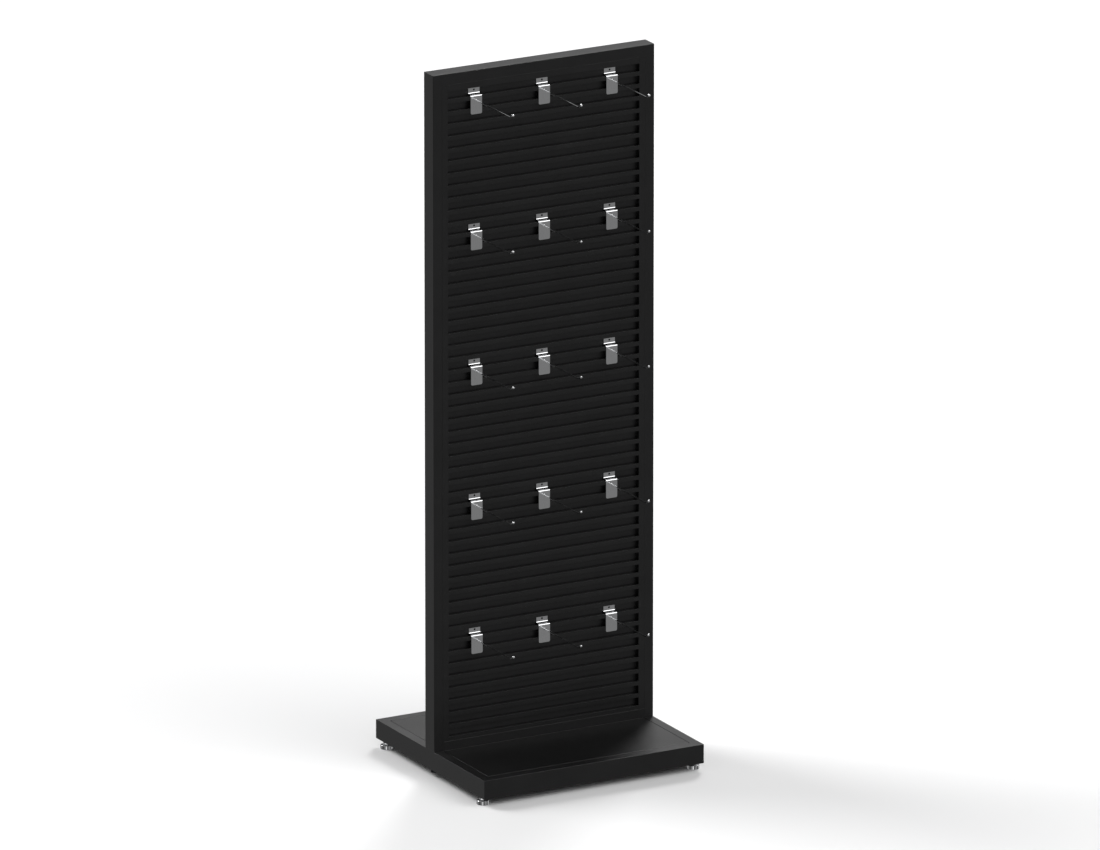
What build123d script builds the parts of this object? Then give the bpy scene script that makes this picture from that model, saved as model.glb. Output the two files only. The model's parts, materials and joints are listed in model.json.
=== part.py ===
"""Double-sided slat display stand: a slatted upright on a flat base, with faceplate hooks on its front."""

from build123d import *
from math import cos, radians
import os

# Driving dimensions, in millimetres. X is across, -Y is the front, Z is up, and the floor is Z = 0.
WIDTH = 610.0
BASE_DEPTH = 560.0
FOOT_HEIGHT = 20.0
RAIL_HEIGHT = 48.5
UPRIGHT_HEIGHT = 1714.0
UPRIGHT_DEPTH = 45.7

# Steel tube frame
SIDE_TUBE = 25.0
END_TUBE = 28.0
BOTTOM_TUBE = 23.0
TUBE_WALL = 2.0
TUBE_RADIUS = 0.6
WELD_GAP = 0.3

# Slats: each groove is an opening with a tubular bar under it
SLATS = 53
GROOVE_OPENING = 20.4
GROOVE_DEPTH = 13.0
BAR_DEPTH = 10.0
BAR_WALL = 1.2
BAR_RADIUS = 0.25
TRIM_WIDTH = 16.0
TRIM_WALL = 1.5
SHEET = 1.5
STIFFENERS = 3

# Hooks: columns across, and the grooves that hold the rows
HOOK_COLUMNS = 3
HOOK_PITCH = 187.0
HOOK_ROWS = 5
GROOVES_PER_ROW = 11
PLATE_WIDTH = 31.0
PLATE_HEIGHT = 47.8
PLATE_THICKNESS = 2.0
PLATE_CORNER = 4.0
PLATE_BEND = 0.8
PLATE_NOSE = 4.4
PLATE_HEEL = 5.0
TAB_HEIGHT = 25.2
TAB_HOLE = 5.0
TAB_HOLE_HEIGHT = 12.5
WIRE = 3.4
WIRE_DROP = 13.4
WIRE_REACH = 175.0
BALL = 7.0
BALL_REACH = 188.0
BALL_RISE = 7.5
CLEARANCE = 0.3

# Deck trays and the ledges under them
DECK_GAP = 1.0
DECK_SHEET = 1.5
DECK_FLANGE = 14.0
DECK_CORNER = 5.0
DECK_EDGE = 0.5
LEDGE_WIDTH = 14.0
LEDGE_THICKNESS = 3.0
BEAM_HEIGHT = 40.0

# Levelling feet and the bolts that hold the upright
FOOT_INSET_X = 12.5
FOOT_INSET_Y = 31.0
PAD = 30.0
PAD_HEIGHT = 10.5
PAD_ROUND = 1.4
PAD_EDGE = 1.0
SPIGOT = 8.0
SOCKET_DEPTH = 6.0
STEM = 10.0
STEM_TOP = 46.0
STEM_HEX = 14.0
STEM_HEX_HEIGHT = 5.0
STEM_CHAMFER = 1.0
THREAD_ROOM = 0.6
INSERT = 19.0
INSERT_HEIGHT = 14.0
BOLT = 12.0
BOLT_HEAD = 18.0
BOLT_HEAD_HEIGHT = 10.0
BOLT_HEAD_ROUND = 1.5
BOLT_SOCKET = 10.0
BOLT_SOCKET_DEPTH = 6.0
BOLT_GRIP = 26.0
BOLT_HOLE = 13.0
PLUG_HEIGHT = 30.0

# Levels and planes that follow from them
HALF_W = WIDTH / 2
HALF_D = BASE_DEPTH / 2
HALF_T = UPRIGHT_DEPTH / 2
BASE_TOP = FOOT_HEIGHT + RAIL_HEIGHT
TOP = BASE_TOP + UPRIGHT_HEIGHT
INNER_X = HALF_W - SIDE_TUBE
FIELD_X = INNER_X - TRIM_WIDTH
FIELD_BOTTOM = BASE_TOP + BOTTOM_TUBE
FRAME_TOP = TOP - END_TUBE
FIELD_TOP = FRAME_TOP - TRIM_WIDTH
PITCH = (FIELD_TOP - FIELD_BOTTOM) / SLATS
BAR_HEIGHT = PITCH - GROOVE_OPENING
SHEET_FACE = HALF_T - GROOVE_DEPTH
HALF_CORE = SHEET_FACE - SHEET
FOOT_X = HALF_W - FOOT_INSET_X
FOOT_Y = HALF_D - FOOT_INSET_Y
HEX_RATIO = 1 / cos(radians(30))
FRONT, REAR = -1, 1
LEFT, RIGHT = -1, 1


def keep(part, name):
    """Label a finished piece and write it as a STEP file of the same name."""
    part.label = name
    export_step(part, f"parts/{name}.step")


def ledge_height(groove):
    """The height that a hook rests at in a groove, counted from 0 at the top."""
    return FIELD_TOP - GROOVE_OPENING - PITCH * groove


# Upright frame: two stiles and a top rail, mitred, and a bottom rail between the stiles
def make_stile(side):
    def mitre(x):
        return TOP - (HALF_W - x) * END_TUBE / SIDE_TUBE

    outline = [(HALF_W, BASE_TOP), (HALF_W, TOP), (INNER_X, FRAME_TOP), (INNER_X, BASE_TOP)]
    outer, inner = HALF_W - TUBE_WALL, INNER_X + TUBE_WALL
    hollow = [(outer, BASE_TOP), (outer, mitre(outer)), (inner, mitre(inner)), (inner, BASE_TOP)]
    with BuildPart() as stile:
        with BuildSketch(Plane.XZ):
            with BuildLine():
                Polyline([(side * x, z) for x, z in outline], close=True)
            make_face()
        extrude(amount=HALF_T, both=True)
        fillet(stile.edges().filter_by(Axis.Z), TUBE_RADIUS)
        with BuildSketch(Plane.XZ):
            with BuildLine():
                Polyline([(side * x, z) for x, z in hollow], close=True)
            make_face()
        extrude(amount=HALF_T - TUBE_WALL, both=True, mode=Mode.SUBTRACT)
    return stile.part


def make_top_rail():
    slope = SIDE_TUBE / END_TUBE
    outer, inner = TUBE_WALL, END_TUBE - TUBE_WALL
    with BuildPart() as rail:
        with BuildSketch(Plane.XZ):
            with BuildLine():
                Polyline(
                    (-HALF_W, TOP),
                    (HALF_W, TOP),
                    (INNER_X, FRAME_TOP),
                    (-INNER_X, FRAME_TOP),
                    close=True,
                )
            make_face()
        extrude(amount=HALF_T, both=True)
        fillet(rail.edges().filter_by(Axis.X), TUBE_RADIUS)
        with BuildSketch(Plane.XZ):
            with BuildLine():
                Polyline(
                    (outer * slope - HALF_W, TOP - outer),
                    (HALF_W - outer * slope, TOP - outer),
                    (HALF_W - inner * slope, TOP - inner),
                    (inner * slope - HALF_W, TOP - inner),
                    close=True,
                )
            make_face()
        extrude(amount=HALF_T - TUBE_WALL, both=True, mode=Mode.SUBTRACT)
    return rail.part


def make_cross_tube(bottom, height):
    """A tube as deep as the upright, fitted between the side tubes."""
    with BuildPart() as tube:
        with BuildSketch(Plane.YZ):
            with Locations((0, bottom + height / 2)):
                RectangleRounded(UPRIGHT_DEPTH, height, TUBE_RADIUS)
                Rectangle(UPRIGHT_DEPTH - 2 * TUBE_WALL, height - 2 * TUBE_WALL, mode=Mode.SUBTRACT)
        extrude(amount=INNER_X, both=True)
    return tube.part


# Slat panels: a back sheet, its trim and the bars, the same on the front and the rear
def make_back_sheet(face):
    with BuildPart() as sheet:
        with BuildSketch(Plane.XY.offset(FIELD_BOTTOM)):
            with Locations((0, face * (SHEET_FACE - SHEET / 2))):
                Rectangle(2 * INNER_X, SHEET)
        extrude(amount=FRAME_TOP - FIELD_BOTTOM)
    return sheet.part


def make_trim(face):
    """Two side strips on the back sheet, and a strip across the top that stands off it as the bars do."""
    side_middle = face * (HALF_T - GROOVE_DEPTH / 2)
    top_middle = face * (HALF_T - BAR_DEPTH / 2)
    wall = 2 * TRIM_WALL
    with BuildPart() as trim:
        with BuildSketch(Plane.XY.offset(FIELD_BOTTOM)):
            with Locations(*[(side * (FIELD_X + TRIM_WIDTH / 2), side_middle) for side in (LEFT, RIGHT)]):
                RectangleRounded(TRIM_WIDTH, GROOVE_DEPTH, BAR_RADIUS)
                Rectangle(TRIM_WIDTH - wall, GROOVE_DEPTH - wall, mode=Mode.SUBTRACT)
        extrude(amount=FRAME_TOP - FIELD_BOTTOM)
        with BuildSketch(Plane.YZ):
            with Locations((top_middle, FIELD_TOP + TRIM_WIDTH / 2)):
                RectangleRounded(BAR_DEPTH, TRIM_WIDTH, BAR_RADIUS)
                Rectangle(BAR_DEPTH - wall, TRIM_WIDTH - wall, mode=Mode.SUBTRACT)
        extrude(amount=FIELD_X - WELD_GAP, both=True)
    return trim.part


def make_slats(face):
    middle = face * (HALF_T - BAR_DEPTH / 2)
    centres = [(middle, ledge_height(groove) - BAR_HEIGHT / 2) for groove in range(SLATS)]
    with BuildPart() as slats:
        with BuildSketch(Plane.YZ):
            with Locations(*centres):
                RectangleRounded(BAR_DEPTH, BAR_HEIGHT, BAR_RADIUS)
                Rectangle(BAR_DEPTH - 2 * BAR_WALL, BAR_HEIGHT - 2 * BAR_WALL, mode=Mode.SUBTRACT)
        extrude(amount=FIELD_X, both=True)
    return slats.part


def make_stiffeners():
    """Upright tubes between the two back sheets."""
    spacing = 2 * INNER_X / (STIFFENERS + 1)
    with BuildPart() as stiffeners:
        with BuildSketch(Plane.XY.offset(FIELD_BOTTOM)):
            with GridLocations(spacing, 0, STIFFENERS, 1):
                Rectangle(SIDE_TUBE, 2 * HALF_CORE)
                Rectangle(SIDE_TUBE - 2 * TRIM_WALL, 2 * (HALF_CORE - TRIM_WALL), mode=Mode.SUBTRACT)
        extrude(amount=FRAME_TOP - FIELD_BOTTOM)
    return stiffeners.part


# Base frame: four mitred tubes around a centre beam
def make_side_rail(side):
    slope = END_TUBE / SIDE_TUBE
    outer, inner = TUBE_WALL, SIDE_TUBE - TUBE_WALL
    outline = [
        (HALF_W, HALF_D),
        (HALF_W, -HALF_D),
        (INNER_X, END_TUBE - HALF_D),
        (INNER_X, HALF_D - END_TUBE),
    ]
    hollow = [
        (HALF_W - outer, HALF_D - outer * slope),
        (HALF_W - outer, outer * slope - HALF_D),
        (HALF_W - inner, inner * slope - HALF_D),
        (HALF_W - inner, HALF_D - inner * slope),
    ]
    feet = [(side * FOOT_X, y) for y in (-FOOT_Y, FOOT_Y)]
    with BuildPart() as rail:
        with BuildSketch(Plane.XY.offset(FOOT_HEIGHT)):
            with BuildLine():
                Polyline([(side * x, y) for x, y in outline], close=True)
            make_face()
        extrude(amount=RAIL_HEIGHT)
        fillet(rail.edges().filter_by(Axis.Y), TUBE_RADIUS)
        with BuildSketch(Plane.XY.offset(FOOT_HEIGHT + TUBE_WALL)):
            with BuildLine():
                Polyline([(side * x, y) for x, y in hollow], close=True)
            make_face()
        extrude(amount=RAIL_HEIGHT - 2 * TUBE_WALL, mode=Mode.SUBTRACT)
        with BuildSketch(Plane.XY.offset(FOOT_HEIGHT)):
            with Locations(*feet):
                Circle((STEM + THREAD_ROOM) / 2)
        extrude(amount=TUBE_WALL, mode=Mode.SUBTRACT)
        with BuildSketch(Plane.XY.offset(FOOT_HEIGHT)):
            with Locations((side * FOOT_X, 0)):
                Circle(BOLT_HOLE / 2)
        extrude(amount=RAIL_HEIGHT, mode=Mode.SUBTRACT)
    return rail.part


def make_end_rail(face):
    slope = SIDE_TUBE / END_TUBE
    outer, inner = TUBE_WALL, END_TUBE - TUBE_WALL
    outline = [
        (-HALF_W, HALF_D),
        (HALF_W, HALF_D),
        (INNER_X, HALF_D - END_TUBE),
        (-INNER_X, HALF_D - END_TUBE),
    ]
    hollow = [
        (outer * slope - HALF_W, HALF_D - outer),
        (HALF_W - outer * slope, HALF_D - outer),
        (HALF_W - inner * slope, HALF_D - inner),
        (inner * slope - HALF_W, HALF_D - inner),
    ]
    with BuildPart() as rail:
        with BuildSketch(Plane.XY.offset(FOOT_HEIGHT)):
            with BuildLine():
                Polyline([(x, face * y) for x, y in outline], close=True)
            make_face()
        extrude(amount=RAIL_HEIGHT)
        fillet(rail.edges().filter_by(Axis.X), TUBE_RADIUS)
        with BuildSketch(Plane.XY.offset(FOOT_HEIGHT + TUBE_WALL)):
            with BuildLine():
                Polyline([(x, face * y) for x, y in hollow], close=True)
            make_face()
        extrude(amount=RAIL_HEIGHT - 2 * TUBE_WALL, mode=Mode.SUBTRACT)
    return rail.part


# Decks: folded trays that drop in flush with the frame, and the ledges they rest on
def make_deck(face):
    length = 2 * (INNER_X - DECK_GAP)
    near, far = HALF_T + DECK_GAP, HALF_D - END_TUBE - DECK_GAP
    wall = 2 * DECK_SHEET
    with BuildPart() as deck:
        with BuildSketch(Plane.XY.offset(BASE_TOP)):
            with Locations((0, face * (near + far) / 2)):
                RectangleRounded(length, far - near, DECK_CORNER)
        extrude(amount=-DECK_FLANGE)
        fillet(deck.faces().sort_by(Axis.Z)[-1].edges(), DECK_EDGE)
        with BuildSketch(Plane.XY.offset(BASE_TOP - DECK_SHEET)):
            with Locations((0, face * (near + far) / 2)):
                RectangleRounded(length - wall, far - near - wall, DECK_CORNER - DECK_SHEET)
        extrude(amount=-DECK_FLANGE, mode=Mode.SUBTRACT)
    return deck.part


def make_ledges():
    """A flat bar along each side of both deck openings."""
    near, far = HALF_T, HALF_D - END_TUBE
    top = BASE_TOP - DECK_FLANGE
    with BuildPart() as ledges:
        with BuildSketch(Plane.XY.offset(top)):
            with GridLocations(2 * INNER_X - LEDGE_WIDTH, near + far, 2, 2):
                Rectangle(LEDGE_WIDTH, far - near)
            for middle in (near + LEDGE_WIDTH / 2, far - LEDGE_WIDTH / 2):
                with GridLocations(0, 2 * middle, 1, 2):
                    Rectangle(2 * (INNER_X - LEDGE_WIDTH - WELD_GAP), LEDGE_WIDTH)
        extrude(amount=-LEDGE_THICKNESS)
    return ledges.part


# Fixings between the upright and the base
def make_bolts():
    with BuildPart() as bolts:
        with BuildSketch(Plane.XY.offset(FOOT_HEIGHT - BOLT_HEAD_HEIGHT)):
            with GridLocations(2 * FOOT_X, 0, 2, 1):
                Circle(BOLT_HEAD / 2)
        extrude(amount=BOLT_HEAD_HEIGHT)
        fillet(bolts.edges().group_by(Axis.Z)[0], BOLT_HEAD_ROUND)
        with BuildSketch(Plane.XY.offset(FOOT_HEIGHT)):
            with GridLocations(2 * FOOT_X, 0, 2, 1):
                Circle(BOLT / 2)
        extrude(amount=RAIL_HEIGHT + BOLT_GRIP)
        with BuildSketch(Plane.XY.offset(FOOT_HEIGHT - BOLT_HEAD_HEIGHT)):
            with GridLocations(2 * FOOT_X, 0, 2, 1):
                RegularPolygon(BOLT_SOCKET * HEX_RATIO / 2, 6)
        extrude(amount=BOLT_SOCKET_DEPTH, mode=Mode.SUBTRACT)
    return bolts.part


def make_plugs():
    """Threaded blocks in the lower ends of the stiles."""
    with BuildPart() as plugs:
        with BuildSketch(Plane.XY.offset(BASE_TOP)):
            with GridLocations(2 * FOOT_X, 0, 2, 1):
                Rectangle(SIDE_TUBE - 2 * TUBE_WALL, UPRIGHT_DEPTH - 2 * TUBE_WALL)
                Circle((BOLT + CLEARANCE) / 2, mode=Mode.SUBTRACT)
        extrude(amount=PLUG_HEIGHT)
    return plugs.part


# Levelling feet
def make_inserts():
    """Threaded bushes in the side rails, one over each foot."""
    with BuildPart() as inserts:
        with BuildSketch(Plane.XY.offset(FOOT_HEIGHT + TUBE_WALL)):
            with GridLocations(2 * FOOT_X, 2 * FOOT_Y, 2, 2):
                Circle(INSERT / 2)
                Circle((STEM + THREAD_ROOM) / 2, mode=Mode.SUBTRACT)
        extrude(amount=INSERT_HEIGHT)
    return inserts.part


def make_pad(x, y):
    """A round block with a round socket for the stem's spigot."""
    rim = PAD / 2
    socket = SPIGOT / 2 + CLEARANCE
    floor = PAD_HEIGHT - SOCKET_DEPTH
    with BuildPart() as pad:
        with BuildSketch(Plane((x, y, 0), x_dir=(1, 0, 0), z_dir=(0, -1, 0))) as profile:
            with BuildLine():
                Polyline(
                    (0, 0),
                    (rim - PAD_EDGE, 0),
                    (rim, PAD_EDGE),
                    (rim, PAD_HEIGHT),
                    (socket, PAD_HEIGHT),
                    (socket, floor),
                    (0, floor),
                    close=True,
                )
            make_face()
            fillet(profile.vertices().group_by(Axis.X)[-1].sort_by(Axis.Y)[-1], PAD_ROUND)
        revolve(axis=Axis((x, y, 0), (0, 0, 1)))
    return pad.part


def make_stem(x, y):
    """A spigot that turns in the pad, a hexagon for the spanner, and the threaded rod."""
    spigot_end = PAD_HEIGHT - SOCKET_DEPTH + CLEARANCE
    hexagon = PAD_HEIGHT + CLEARANCE
    rod = hexagon + STEM_HEX_HEIGHT
    with BuildPart() as stem:
        with BuildSketch(Plane((x, y, spigot_end))):
            Circle(SPIGOT / 2)
        extrude(amount=hexagon - spigot_end)
        with BuildSketch(Plane((x, y, hexagon))):
            RegularPolygon(STEM_HEX * HEX_RATIO / 2, 6)
        extrude(amount=STEM_HEX_HEIGHT)
        with BuildSketch(Plane((x, y, rod))):
            Circle(STEM / 2)
        extrude(amount=STEM_TOP - rod)
        chamfer(stem.edges().group_by(Axis.Z)[-1], STEM_CHAMFER)
    return stem.part


# Hooks: a bent plate that hangs on a bar, and a wire with a ball end
def make_hook_plate(x, ledge):
    """The plate bears on the bar's front, the shelf on its top, and the tab behind the bar above."""
    back = -HALF_T - CLEARANCE
    front = back - PLATE_THICKNESS
    tab_back = -SHEET_FACE - (GROOVE_DEPTH - BAR_DEPTH - PLATE_THICKNESS) / 2
    tab_front = tab_back - PLATE_THICKNESS
    under = ledge + CLEARANCE
    shelf = under + PLATE_THICKNESS
    tab_top = ledge + TAB_HEIGHT
    bends = (
        (front, shelf, PLATE_NOSE),
        (back, under, PLATE_BEND),
        (tab_front, shelf, PLATE_HEEL),
        (tab_back, under, PLATE_HEEL + PLATE_THICKNESS),
    )
    with BuildPart() as plate:
        with BuildSketch(Plane.YZ.offset(x)) as strip:
            with BuildLine():
                Polyline(
                    (front, shelf - PLATE_HEIGHT),
                    (front, shelf),
                    (tab_front, shelf),
                    (tab_front, tab_top),
                    (tab_back, tab_top),
                    (tab_back, under),
                    (back, under),
                    (back, shelf - PLATE_HEIGHT),
                    close=True,
                )
            make_face()
            for y, z, radius in bends:
                fillet(strip.vertices().sort_by_distance((y, z, 0))[0], radius)
        extrude(amount=PLATE_WIDTH / 2, both=True)
        fillet(plate.edges().filter_by(Axis.Y).group_by(Axis.Z)[0], PLATE_CORNER)
        fillet(plate.edges().filter_by(Axis.Y).group_by(Axis.Z)[-1], PLATE_CORNER / 2)
        with Locations((x, (tab_front + tab_back) / 2, ledge + TAB_HOLE_HEIGHT)):
            Cylinder(TAB_HOLE / 2, 2 * PLATE_THICKNESS, rotation=(90, 0, 0), mode=Mode.SUBTRACT)
    return plate.part


def make_hook_wire(x, ledge):
    """A straight wire from the plate, turned up a little at its ball end."""
    root = -HALF_T - CLEARANCE - PLATE_THICKNESS
    height = ledge + CLEARANCE + PLATE_THICKNESS - WIRE_DROP
    ball_y = -HALF_T - BALL_REACH
    with BuildPart() as wire:
        with BuildLine(Plane.YZ.offset(x)) as path:
            FilletPolyline((root, height), (-HALF_T - WIRE_REACH, height), (ball_y, height + BALL_RISE),
                           radius=BALL)
        with BuildSketch(Plane((x, root, height), x_dir=(1, 0, 0), z_dir=(0, -1, 0))):
            Circle(WIRE / 2)
        sweep(path=path.wire())
        with Locations((x, ball_y, height + BALL_RISE)):
            Sphere(BALL / 2)
    return wire.part


os.makedirs("parts", exist_ok=True)

keep(make_stile(LEFT), "left_stile")
keep(make_stile(RIGHT), "right_stile")
keep(make_top_rail(), "top_rail")
keep(make_cross_tube(BASE_TOP, BOTTOM_TUBE), "bottom_rail")
keep(make_cross_tube(BASE_TOP - BEAM_HEIGHT, BEAM_HEIGHT), "center_beam")
keep(make_stiffeners(), "core_stiffeners")
keep(make_side_rail(LEFT), "base_left_rail")
keep(make_side_rail(RIGHT), "base_right_rail")
keep(make_ledges(), "deck_ledges")
keep(make_bolts(), "upright_bolts")
keep(make_plugs(), "stile_plugs")
keep(make_inserts(), "foot_inserts")

for face, word in ((FRONT, "front"), (REAR, "rear")):
    keep(make_back_sheet(face), f"{word}_back_sheet")
    keep(make_trim(face), f"{word}_trim")
    keep(make_slats(face), f"{word}_slats")
    keep(make_end_rail(face), f"base_{word}_rail")
    keep(make_deck(face), f"{word}_deck")
    for side, hand in ((LEFT, "left"), (RIGHT, "right")):
        keep(make_pad(side * FOOT_X, face * FOOT_Y), f"{word}_{hand}_foot_pad")
        keep(make_stem(side * FOOT_X, face * FOOT_Y), f"{word}_{hand}_foot_stem")

for row in range(HOOK_ROWS):
    for column in range(HOOK_COLUMNS):
        place = (column - (HOOK_COLUMNS - 1) / 2) * HOOK_PITCH
        rest = ledge_height(row * GROOVES_PER_ROW)
        keep(make_hook_plate(place, rest), f"hook_plate_r{row + 1}_c{column + 1}")
        keep(make_hook_wire(place, rest), f"hook_wire_r{row + 1}_c{column + 1}")
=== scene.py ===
"""Looks for the slat display stand: finishes, small hardware detail, floor, lights and camera."""

import json
import math
import random

import bmesh
import bpy
from mathutils import Matrix, Vector


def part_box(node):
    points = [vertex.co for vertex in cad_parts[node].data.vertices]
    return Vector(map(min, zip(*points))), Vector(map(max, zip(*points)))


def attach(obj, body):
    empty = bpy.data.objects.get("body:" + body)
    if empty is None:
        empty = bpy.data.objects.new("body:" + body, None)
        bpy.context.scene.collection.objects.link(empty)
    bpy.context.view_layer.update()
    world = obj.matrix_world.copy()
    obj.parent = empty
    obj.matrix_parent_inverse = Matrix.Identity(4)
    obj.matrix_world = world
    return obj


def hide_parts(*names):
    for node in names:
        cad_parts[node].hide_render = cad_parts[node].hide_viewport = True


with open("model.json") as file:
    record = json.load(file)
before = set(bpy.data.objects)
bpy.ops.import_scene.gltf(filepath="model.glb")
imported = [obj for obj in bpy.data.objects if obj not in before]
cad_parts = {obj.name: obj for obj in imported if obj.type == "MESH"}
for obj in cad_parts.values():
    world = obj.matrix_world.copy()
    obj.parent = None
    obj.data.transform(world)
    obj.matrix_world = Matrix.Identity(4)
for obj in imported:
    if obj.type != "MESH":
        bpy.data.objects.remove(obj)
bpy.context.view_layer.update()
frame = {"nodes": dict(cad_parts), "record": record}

NODES = frame["nodes"]
COLLECTION = bpy.context.scene.collection

# ---------------------------------------------------------------- camera
CAMERA_AZIMUTH = math.radians(-28.5619)
CAMERA_ELEVATION = math.radians(16.8533)
CAMERA_DISTANCE = 41.693
CAMERA_TARGET = Vector((0.1357, 0.1957, 0.7817))
LENS = 556.73
SENSOR = 36.0


def make_camera():
    cos_e = math.cos(CAMERA_ELEVATION)
    back = Vector((
        math.sin(CAMERA_AZIMUTH) * cos_e,
        -math.cos(CAMERA_AZIMUTH) * cos_e,
        math.sin(CAMERA_ELEVATION),
    ))
    right = Vector((math.cos(CAMERA_AZIMUTH), math.sin(CAMERA_AZIMUTH), 0))
    data = bpy.data.cameras.new("camera")
    data.lens = LENS
    data.sensor_width = SENSOR
    data.clip_start = 1.0
    data.clip_end = 500.0
    camera = bpy.data.objects.new("camera", data)
    COLLECTION.objects.link(camera)
    turn = Matrix((right, back.cross(right), back)).transposed().to_4x4()
    camera.matrix_world = Matrix.Translation(CAMERA_TARGET + back * CAMERA_DISTANCE) @ turn
    bpy.context.scene.camera = camera


# ---------------------------------------------------------------- studio: sky, lights and floor
SKY = (  # brightness of the studio by the height of the direction, from straight down to straight up
    (-1.0, 0.295),
    (-0.12, 0.295),
    (0.05, 0.30),
    (0.30, 0.33),
    (0.55, 0.38),
    (1.0, 0.45),
)
# Soft panels and dark flags round the studio: azimuth, elevation, full to this angle, none past this, level
PANELS = (
    (147, 37, 8, 19, 0.75),
    (192, 36, 8, 20, 1.2),
    (208, -14, 3, 10, 1.2),
    (270, -12, 14, 34, -0.20),
    (182, -16, 5, 15, -0.20),
    (112, -14, 8, 22, -0.20),
    (84, -10, 4, 14, 1.0),
)
FLOOR_SIZE = 300.0
FLOOR_ROUGHNESS = 0.8
FLOOR_GLOSS = 0.1
FLOOR_PATCHES = 0.7
FLOOR_DULL = (0.84, 0.84, 0.845)
FLOOR_BRIGHT = (0.86, 0.86, 0.86)
LAMP_DISTANCE = 6.0
LAMPS = (  # name, azimuth, elevation, spread and strength
    ("key_front_right", 145, 42, 48, 1.1),
    ("rim_back_right", 43, 40, 16, 1.15),
    ("fill_back_left", -36, 40, 30, 1.8),
)


def direction(azimuth, elevation):
    """A unit vector, from degrees. Azimuth is clockwise from the rear of the stand, seen from above."""
    turn, tilt = math.radians(azimuth), math.radians(elevation)
    return Vector((math.sin(turn) * math.cos(tilt), math.cos(turn) * math.cos(tilt), math.sin(tilt)))


def make_sky():
    world = bpy.data.worlds.new("studio")
    bpy.context.scene.world = world
    world.use_nodes = True
    tree = world.node_tree
    tree.nodes.clear()
    coords = tree.nodes.new("ShaderNodeTexCoord")
    split = tree.nodes.new("ShaderNodeSeparateXYZ")
    scale = tree.nodes.new("ShaderNodeMapRange")
    scale.inputs["From Min"].default_value = -1.0
    ramp = tree.nodes.new("ShaderNodeValToRGB")
    background = tree.nodes.new("ShaderNodeBackground")
    background.inputs["Color"].default_value = (1, 1, 1, 1)
    output = tree.nodes.new("ShaderNodeOutputWorld")
    stops = ramp.color_ramp.elements
    while len(stops) < len(SKY):
        stops.new(0.5)
    for stop, (height, level) in zip(stops, SKY):
        stop.position = (height + 1) / 2
        stop.color = (level, level, level, 1)
    tree.links.new(coords.outputs["Generated"], split.inputs[0])
    tree.links.new(split.outputs["Z"], scale.inputs["Value"])
    tree.links.new(scale.outputs["Result"], ramp.inputs["Fac"])
    total = ramp.outputs["Color"]
    for azimuth, elevation, full, none, level in PANELS:
        toward = tree.nodes.new("ShaderNodeVectorMath")
        toward.operation = "DOT_PRODUCT"
        toward.inputs[1].default_value = direction(azimuth, elevation)
        tree.links.new(coords.outputs["Generated"], toward.inputs[0])
        panel = tree.nodes.new("ShaderNodeMapRange")
        panel.interpolation_type = "SMOOTHSTEP"
        panel.inputs["From Min"].default_value = math.cos(math.radians(none))
        panel.inputs["From Max"].default_value = math.cos(math.radians(full))
        panel.inputs["To Max"].default_value = level
        tree.links.new(toward.outputs["Value"], panel.inputs["Value"])
        add = tree.nodes.new("ShaderNodeMath")
        add.operation = "ADD"
        tree.links.new(total, add.inputs[0])
        tree.links.new(panel.outputs["Result"], add.inputs[1])
        total = add.outputs[0]
    tree.links.new(total, background.inputs["Strength"])
    tree.links.new(background.outputs["Background"], output.inputs["Surface"])


def make_lamp(name, azimuth, elevation, spread, strength):
    """A soft lamp far away, that spreads over an angle in degrees."""
    data = bpy.data.lights.new(name, "SUN")
    data.angle = math.radians(spread)
    data.energy = strength
    lamp = bpy.data.objects.new(name, data)
    COLLECTION.objects.link(lamp)
    toward = direction(azimuth, elevation)
    lamp.location = toward * LAMP_DISTANCE
    lamp.rotation_mode = "QUATERNION"
    lamp.rotation_quaternion = toward.to_track_quat("Z", "Y")


def make_floor():
    mesh = bpy.data.meshes.new("studio_floor")
    half = FLOOR_SIZE / 2
    corners = [(-half, -half, 0), (half, -half, 0), (half, half, 0), (-half, half, 0)]
    mesh.from_pydata(corners, [], [(0, 1, 2, 3)])
    floor = bpy.data.objects.new("studio_floor", mesh)
    COLLECTION.objects.link(floor)
    finish = Finish("studio_floor")
    finish.shader.inputs["Roughness"].default_value = FLOOR_ROUGHNESS
    finish.shader.inputs["Specular IOR Level"].default_value = FLOOR_GLOSS
    finish.colour(finish.mix(finish.noise(FLOOR_PATCHES, detail=2), FLOOR_DULL, FLOOR_BRIGHT))
    mesh.materials.append(finish.material)
    floor.visible_glossy = False


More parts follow.
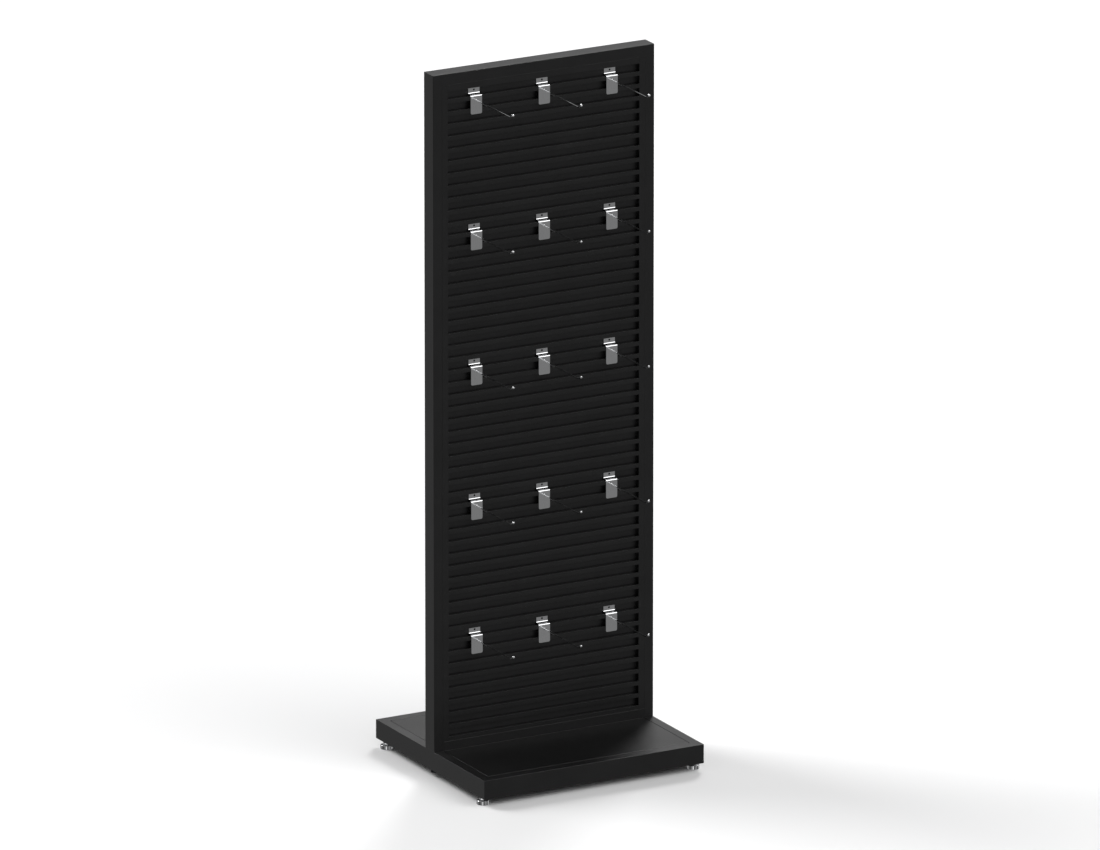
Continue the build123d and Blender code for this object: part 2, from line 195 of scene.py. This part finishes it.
# ---------------------------------------------------------------- finishes
class Finish:
    """A material, with short calls for the nodes that the finishes share. Lengths are in metres."""

    def __init__(self, name):
        self.material = bpy.data.materials.new(name)
        self.material.use_nodes = True
        self.tree = self.material.node_tree
        self.tree.nodes.clear()
        self.shader = self.node("ShaderNodeBsdfPrincipled")
        self.join(self.shader.outputs["BSDF"], self.node("ShaderNodeOutputMaterial").inputs["Surface"])
        self.place = self.node("ShaderNodeTexCoord").outputs["Object"]
        self.geometry = self.node("ShaderNodeNewGeometry")

    def node(self, kind):
        return self.tree.nodes.new(kind)

    def join(self, source, socket):
        self.tree.links.new(source, socket)

    def feed(self, value, socket):
        """Link an output to a socket, or set the socket to a number or colour."""
        if isinstance(value, bpy.types.NodeSocket):
            self.join(value, socket)
        elif isinstance(value, tuple) and len(value) == 3 and len(socket.default_value) == 4:
            socket.default_value = (*value, 1)
        else:
            socket.default_value = value

    def stretched(self, scale):
        mapping = self.node("ShaderNodeMapping")
        mapping.inputs["Scale"].default_value = scale
        self.join(self.place, mapping.inputs["Vector"])
        return mapping.outputs["Vector"]

    def noise(self, scale, detail=2.0, roughness=0.5, stretch=None):
        texture = self.node("ShaderNodeTexNoise")
        texture.inputs["Scale"].default_value = scale
        texture.inputs["Detail"].default_value = detail
        texture.inputs["Roughness"].default_value = roughness
        self.join(self.stretched(stretch) if stretch else self.place, texture.inputs["Vector"])
        return texture.outputs["Fac"]

    def cells(self, scale):
        texture = self.node("ShaderNodeTexVoronoi")
        texture.inputs["Scale"].default_value = scale
        self.join(self.place, texture.inputs["Vector"])
        return texture.outputs["Distance"]

    def remap(self, value, low, high, to_low=0.0, to_high=1.0):
        remap = self.node("ShaderNodeMapRange")
        self.feed(value, remap.inputs["Value"])
        limits = {"From Min": low, "From Max": high, "To Min": to_low, "To Max": to_high}
        for socket, number in limits.items():
            remap.inputs[socket].default_value = number
        return remap.outputs["Result"]

    def sum(self, operation, a, b):
        node = self.node("ShaderNodeMath")
        node.operation = operation
        self.feed(a, node.inputs[0])
        self.feed(b, node.inputs[1])
        return node.outputs[0]

    def mix(self, share, a, b):
        node = self.node("ShaderNodeMix")
        node.data_type = "RGBA"
        self.feed(share, node.inputs["Factor"])
        self.feed(a, node.inputs[6])
        self.feed(b, node.inputs[7])
        return node.outputs[2]

    def facing_up(self):
        """1 on level tops, falling to 0 on a slope of 45 degrees."""
        split = self.node("ShaderNodeSeparateXYZ")
        self.join(self.geometry.outputs["Normal"], split.inputs[0])
        return self.remap(split.outputs["Z"], 0.7, 0.98)

    def edges(self, radius, low=0.02, high=0.3):
        """1 within a radius of a sharp edge, 0 on the flats."""
        rounded = self.node("ShaderNodeBevel")
        rounded.samples = 4
        rounded.inputs["Radius"].default_value = radius
        dot = self.node("ShaderNodeVectorMath")
        dot.operation = "DOT_PRODUCT"
        self.join(rounded.outputs["Normal"], dot.inputs[0])
        self.join(self.geometry.outputs["Normal"], dot.inputs[1])
        return self.remap(dot.outputs["Value"], 1 - low, 1 - high)

    def bump(self, height, distance, strength=1.0, under=None):
        node = self.node("ShaderNodeBump")
        node.inputs["Strength"].default_value = strength
        node.inputs["Distance"].default_value = distance
        self.join(height, node.inputs["Height"])
        if under is not None:
            self.join(under, node.inputs["Normal"])
        return node.outputs["Normal"]

    def colour(self, value):
        self.feed(value, self.shader.inputs["Base Color"])

    def roughness(self, value):
        self.feed(value, self.shader.inputs["Roughness"])

    def normal(self, value):
        self.join(value, self.shader.inputs["Normal"])


BLACK = (0.0024, 0.0024, 0.0026)
SCUFFED = (0.03, 0.03, 0.031)
BURNISHED = (0.028, 0.028, 0.030)
DUST = (0.22, 0.215, 0.205)
WORN_EDGE = 0.0012
# How fine each noise is, per metre
SWIRL_SCALE = 11
DRIFT_SCALE = 24
SCUFF_SCALE = 34
RUB_SCALE = 95
PEEL_SCALE = 420
GRAIN_SCALE = 1900
SCRATCH_SCALE = 40
SMUDGE_SCALE = 55
POLISH_SCALE = 60
RIPPLE_SCALE = 70
TARNISH_SCALE = 130
# The part of a noise's range over which its mark fades in
MIDDLE = (0.35, 0.65)
BROAD = (0.3, 0.7)
DRIFTS = (0.35, 0.75)
SCUFFS = (0.60, 0.74)
RUBS = (0.42, 0.62)
SCRATCHES = (0.66, 0.72)
SMUDGES = (0.50, 0.72)
TARNISH = (0.5, 0.75)
CRYSTALS = (0.0, 0.7)
# Depths of the surface relief, in metres
POLISH_DEPTH = 0.000004
SPANGLE_DEPTH = 0.00001
ZINC_RIPPLE = 0.00003


def tint(colour, factor):
    return tuple(c * factor for c in colour)


def powder_coat(name, colour, roughness, wear, peel=0.00016, grain=0.000018, dust=0.006):
    """Satin black powder coat: orange peel, fine grain, uneven gloss, dusty tops and burnished edges."""
    finish = Finish(name)
    finish.shader.inputs["Specular IOR Level"].default_value = 0.5
    swirl = finish.noise(SWIRL_SCALE, detail=4, roughness=0.6)
    fine = finish.noise(GRAIN_SCALE, detail=2)
    lumps = finish.noise(PEEL_SCALE, detail=2, roughness=0.6)
    streaks = finish.noise(SCUFF_SCALE, detail=6, roughness=0.72, stretch=(1, 1, 0.35))
    scuffs = finish.remap(streaks, *SCUFFS)
    worn = finish.edges(WORN_EDGE)
    rubbed = finish.noise(RUB_SCALE, detail=4)
    burnished = finish.sum("MULTIPLY", worn, finish.remap(rubbed, *RUBS, 0, wear))
    level = finish.facing_up()
    drift = finish.noise(DRIFT_SCALE, detail=8, roughness=0.7)
    settled = finish.sum("MULTIPLY", level, finish.remap(drift, *DRIFTS, 0.25 * dust, dust))
    shade = finish.mix(finish.remap(swirl, *MIDDLE), tint(colour, 0.75), tint(colour, 1.3))
    shade = finish.mix(finish.sum("MULTIPLY", scuffs, 0.12), shade, SCUFFED)
    shade = finish.mix(burnished, shade, BURNISHED)
    shade = finish.mix(settled, shade, DUST)
    finish.colour(shade)
    gloss = finish.remap(swirl, *BROAD, roughness - 0.03, roughness + 0.03)
    gloss = finish.sum("ADD", gloss, finish.remap(fine, *BROAD, -0.03, 0.03))
    gloss = finish.sum("ADD", gloss, finish.sum("MULTIPLY", scuffs, 0.08))
    gloss = finish.sum("ADD", gloss, finish.sum("MULTIPLY", settled, 1.2))
    finish.roughness(finish.sum("SUBTRACT", gloss, finish.sum("MULTIPLY", burnished, 0.08)))
    finish.normal(finish.bump(fine, grain, under=finish.bump(lumps, peel)))
    return finish.material


def bright_plate(name, colour, roughness, stretch, ripple=0.00006, smudge=0.10):
    """Bright plated steel: polishing lines, a slight ripple, smudges and fine scratches."""
    finish = Finish(name)
    finish.shader.inputs["Metallic"].default_value = 1.0
    lines = finish.noise(POLISH_SCALE, detail=5, roughness=0.7, stretch=stretch)
    wave = finish.noise(RIPPLE_SCALE, detail=1)
    cloud = finish.noise(SMUDGE_SCALE, detail=5, roughness=0.65)
    across = (stretch[2], stretch[0], stretch[1])
    scratch = finish.remap(finish.noise(SCRATCH_SCALE, detail=3, stretch=across), *SCRATCHES)
    smudged = finish.remap(cloud, *SMUDGES, 0, smudge)
    shade = finish.mix(finish.remap(lines, *MIDDLE), tint(colour, 0.90), colour)
    shade = finish.mix(finish.sum("MULTIPLY", smudged, 1.5), shade, tint(colour, 0.8))
    finish.colour(shade)
    gloss = finish.remap(lines, *BROAD, roughness - 0.02, roughness + 0.03)
    gloss = finish.sum("ADD", gloss, smudged)
    finish.roughness(finish.sum("ADD", gloss, finish.sum("MULTIPLY", scratch, 0.06)))
    finish.normal(finish.bump(lines, POLISH_DEPTH, under=finish.bump(wave, ripple)))
    return finish.material


def plain_steel(name, colour, roughness, spangle):
    """Zinc plated or blackened steel, with a faint spangle and dull patches."""
    finish = Finish(name)
    finish.shader.inputs["Metallic"].default_value = 1.0
    crystals = finish.cells(spangle)
    cloud = finish.noise(TARNISH_SCALE, detail=4, roughness=0.6)
    shade = finish.mix(finish.remap(crystals, *CRYSTALS), tint(colour, 0.8), colour)
    finish.colour(finish.mix(finish.remap(cloud, *TARNISH, 0, 0.5), shade, tint(colour, 0.6)))
    finish.roughness(finish.remap(cloud, *BROAD, roughness - 0.06, roughness + 0.1))
    finish.normal(finish.bump(crystals, SPANGLE_DEPTH, under=finish.bump(cloud, ZINC_RIPPLE)))
    return finish.material


def make_finishes():
    return {
        "frame_paint": powder_coat("frame_paint", BLACK, 0.34, wear=0.06),
        "trim_paint": powder_coat("trim_paint", BLACK, 0.34, wear=0.06),
        "slat_paint": powder_coat("slat_paint", BLACK, 0.34, wear=0.06),
        # The back sheet's black is tinted 1.5 times lighter than the bars': painted fill light, lifting the
        # shade in the grooves.
        "sheet_paint": powder_coat("sheet_paint", tint(BLACK, 1.5), 0.42, wear=0),
        "deck_paint": powder_coat(
            "deck_paint", tint(BLACK, 0.7), 0.325, wear=0.05, peel=0.00018, grain=0.000024, dust=0.002
        ),
        "inner_steel": powder_coat("inner_steel", BLACK, 0.44, wear=0.2),
        "zinc_steel": plain_steel("zinc_steel", (0.55, 0.56, 0.55), 0.34, 900),
        "black_bolt": plain_steel("black_bolt", (0.05, 0.05, 0.053), 0.36, 1400),
        "foot_chrome": bright_plate(
            "foot_chrome", (0.66, 0.665, 0.675), 0.09, (1, 1, 26), smudge=0.12
        ),
        "hook_plate_chrome": bright_plate(
            "hook_plate_chrome", (0.60, 0.604, 0.612), 0.10, (26, 26, 1)
        ),
        "hook_wire_chrome": bright_plate(
            "hook_wire_chrome", (0.68, 0.684, 0.692), 0.07, (26, 1, 26), smudge=0.06
        ),
    }


# ---------------------------------------------------------------- pieces
THREAD_PITCH = 0.0015
THREAD_SINK = 0.00012  # how far the ridge's root lies inside the rod
THREAD_LEAST = 0.08  # the ridge's height at its ends, as a share of its full height
THREAD_FOOT = 0.44  # half widths of the ridge at its root and crest, as shares of the pitch
THREAD_CREST = 0.08
STEM_RADIUS = 0.005
STEM_CORE = 0.00412
STEM_TIP = 0.86  # the tip's radius as a share of the core's
STEM_TIP_HEIGHT = 0.001
THREAD_START = 0.0007  # above the hexagon
THREAD_STOP = 0.0014  # below the tip
HEX_FLATS = 0.014
HEX_HEIGHT = 0.005
HEX_CHAMFER_CIRCLE = 0.97  # diameter of the chamfer's circle as a share of the width across the flats
HEX_CHAMFER_ANGLE = 30
SPIGOT_RADIUS = 0.004
SPIGOT_TAPER = 0.9
SPIGOT_CHAMFER = 0.0004
PAD_SOCKET = 0.006
OVERLAP = 0.0005  # how far the turned pieces run into the hexagon
WIRE_RADIUS = 0.0017
WELD_REACH = 0.0014
WELD_DEPTH = 0.0004  # how far the weld's inner wall lies inside the wire
WELD_WOBBLE = 0.00007
WELD_PROFILE = (  # share of the weld's reach, height off the plate
    (1.0, -0.0002),
    (1.0, 0.00008),
    (0.52, 0.00030),
    (0.26, 0.00062),
    (0.10, 0.00105),
)
WELD_TOP = 0.00160
WELD_EDGE = 0.00002
HOOK_ROWS = 5
HOOK_COLUMNS = 3


def add_piece(name, mesh_data, body, material, smooth_angle=35):
    """Make an object from a bmesh, on a body and in a material slot."""
    mesh = bpy.data.meshes.new(name)
    mesh_data.normal_update()
    mesh_data.to_mesh(mesh)
    mesh_data.free()
    mesh.materials.append(material)
    mesh.shade_smooth()
    piece = bpy.data.objects.new(name, mesh)
    COLLECTION.objects.link(piece)
    mesh.set_sharp_from_angle(angle=math.radians(smooth_angle))
    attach(piece, body)
    return piece


def lathe(shape, profile, centre, steps=48, wobble=None):
    """Turn a closed profile of (radius, height) points about the vertical through centre."""
    rings = []
    for step in range(steps):
        angle = 2 * math.pi * step / steps
        swell = wobble(angle) if wobble else 0.0
        turned = [((r + swell) * math.cos(angle), (r + swell) * math.sin(angle), z) for r, z in profile]
        rings.append([shape.verts.new(centre + Vector(point)) for point in turned])
    for step in range(steps):
        here, there = rings[step], rings[(step + 1) % steps]
        for k in range(len(profile)):
            after = (k + 1) % len(profile)
            shape.faces.new((here[k], there[k], there[after], here[after]))


def rod(shape, radii_heights, centre, steps=48):
    """A solid of revolution from the bottom to the top, closed with a cap at each end."""
    rings = [
        [
            shape.verts.new(centre + Vector((r * math.cos(a), r * math.sin(a), z)))
            for a in (2 * math.pi * k / steps for k in range(steps))
        ]
        for r, z in radii_heights
    ]
    close_rings(shape, rings)


def close_rings(shape, rings):
    """Join the rings with faces from the first to the last, and cap both ends."""
    steps = len(rings[0])
    for low, high in zip(rings, rings[1:]):
        for k in range(steps):
            n = (k + 1) % steps
            shape.faces.new((low[k], low[n], high[n], high[k]))
    shape.faces.new(list(reversed(rings[0])))
    shape.faces.new(rings[-1])


def hexagon(shape, flats, bottom, top, centre, steps=72):
    """A hexagon with the usual 30 degree chamfers, which leave arcs on its faces."""
    circle = flats / 2 * HEX_CHAMFER_CIRCLE
    fall = math.tan(math.radians(HEX_CHAMFER_ANGLE))
    rings = [[], [], [], []]
    for k in range(steps):
        a = 2 * math.pi * k / steps
        off = (a + math.pi / 6) % (math.pi / 3) - math.pi / 6
        radius = flats / 2 / math.cos(off)
        drop = (radius - circle) * fall
        levels = ((circle, bottom), (radius, bottom + drop), (radius, top - drop), (circle, top))
        for ring, (r, z) in zip(rings, levels):
            ring.append(shape.verts.new(centre + Vector((r * math.cos(a), r * math.sin(a), z))))
    close_rings(shape, rings)


def thread(shape, major, minor, pitch, bottom, top, centre, steps=28):
    """A helical ridge, closed at both ends, that rises out of a rod of the minor radius."""
    turns = (top - bottom) / pitch
    count = int(turns * steps)
    root = minor - THREAD_SINK
    rings = []
    for k in range(count + 1):
        a = 2 * math.pi * k / steps
        z = bottom + pitch * k / steps
        fade = min(1.0, 2.0 * k / steps, 2.0 * (count - k) / steps)
        crest = root + (major - root) * max(fade, THREAD_LEAST)
        profile = (
            (root, -THREAD_FOOT), (crest, -THREAD_CREST), (crest, THREAD_CREST), (root, THREAD_FOOT),
        )
        rings.append([
            shape.verts.new(centre + Vector((r * math.cos(a), r * math.sin(a), z + share * pitch)))
            for r, share in profile
        ])
    for here, there in zip(rings, rings[1:]):
        for k in range(4):
            n = (k + 1) % 4
            shape.faces.new((here[k], there[k], there[n], here[n]))
    shape.faces.new(rings[0])
    shape.faces.new(list(reversed(rings[-1])))


def make_foot_stem(node, material):
    """The levelling foot's stem, with its real thread and chamfered hexagon."""
    low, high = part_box(node)
    centre = Vector(((low.x + high.x) / 2, (low.y + high.y) / 2, 0))
    hex_bottom = low.z + PAD_SOCKET
    hex_top = hex_bottom + HEX_HEIGHT
    shape = bmesh.new()
    rod(shape, (
        (SPIGOT_RADIUS * SPIGOT_TAPER, low.z),
        (SPIGOT_RADIUS, low.z + SPIGOT_CHAMFER),
        (SPIGOT_RADIUS, hex_bottom + OVERLAP),
    ), centre)
    hexagon(shape, HEX_FLATS, hex_bottom, hex_top, centre)
    rod(shape, (
        (STEM_CORE, hex_top - OVERLAP),
        (STEM_CORE, high.z - STEM_TIP_HEIGHT),
        (STEM_CORE * STEM_TIP, high.z),
    ), centre)
    thread_top = high.z - THREAD_STOP
    thread(shape, STEM_RADIUS, STEM_CORE, THREAD_PITCH, hex_top + THREAD_START, thread_top, centre)
    piece = add_piece(node + "_threaded", shape, node, material)
    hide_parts(node)


def make_hook_weld(row, column, material):
    """The small fillet of weld where a hook's wire meets its plate."""
    low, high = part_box(f"hook_wire_r{row}_c{column}")
    x = (low.x + high.x) / 2
    height = low.z + WIRE_RADIUS
    chance = random.Random(100 * row + column)
    phases = [chance.uniform(0, 2 * math.pi) for _ in range(3)]

    def wobble(angle):
        return sum(WELD_WOBBLE * math.sin((2 + k) * angle + phase) for k, phase in enumerate(phases))

    inside = WIRE_RADIUS - WELD_DEPTH
    profile = [
        (inside, WELD_PROFILE[0][1]),
        *((WIRE_RADIUS + WELD_REACH * share, height_off) for share, height_off in WELD_PROFILE),
        (WIRE_RADIUS + WELD_EDGE, WELD_TOP),
        (inside, WELD_TOP),
    ]
    shape = bmesh.new()
    lathe(shape, profile, Vector((0, 0, 0)), steps=40, wobble=wobble)
    out_of_plate = Matrix.Rotation(math.radians(90), 4, "X")
    place = Matrix.Translation((x, high.y, height)) @ out_of_plate
    bmesh.ops.transform(shape, matrix=place, verts=shape.verts)
    bmesh.ops.recalc_face_normals(shape, faces=shape.faces)
    name = f"hook_weld_r{row}_c{column}"
    add_piece(name, shape, f"hook_r{row}_c{column}", material)


# ---------------------------------------------------------------- build
def dress_nodes(finishes):
    """Give every CAD node the finish of its material slot."""
    slots = {row["node"]: row["material_slot"] for row in frame["record"]["subparts"]}
    for name, node in NODES.items():
        node.data.materials.clear()
        node.data.materials.append(finishes[slots[name]])


FINISHES = make_finishes()
make_camera()
make_sky()
make_floor()
for lamp_row in LAMPS:
    make_lamp(*lamp_row)
dress_nodes(FINISHES)

for end in ("front", "rear"):
    for hand in ("left", "right"):
        make_foot_stem(f"{end}_{hand}_foot_stem", FINISHES["foot_chrome"])
for row in range(1, HOOK_ROWS + 1):
    for column in range(1, HOOK_COLUMNS + 1):
        make_hook_weld(row, column, FINISHES["hook_wire_chrome"])

bpy.context.scene.view_settings.view_transform = "Standard"
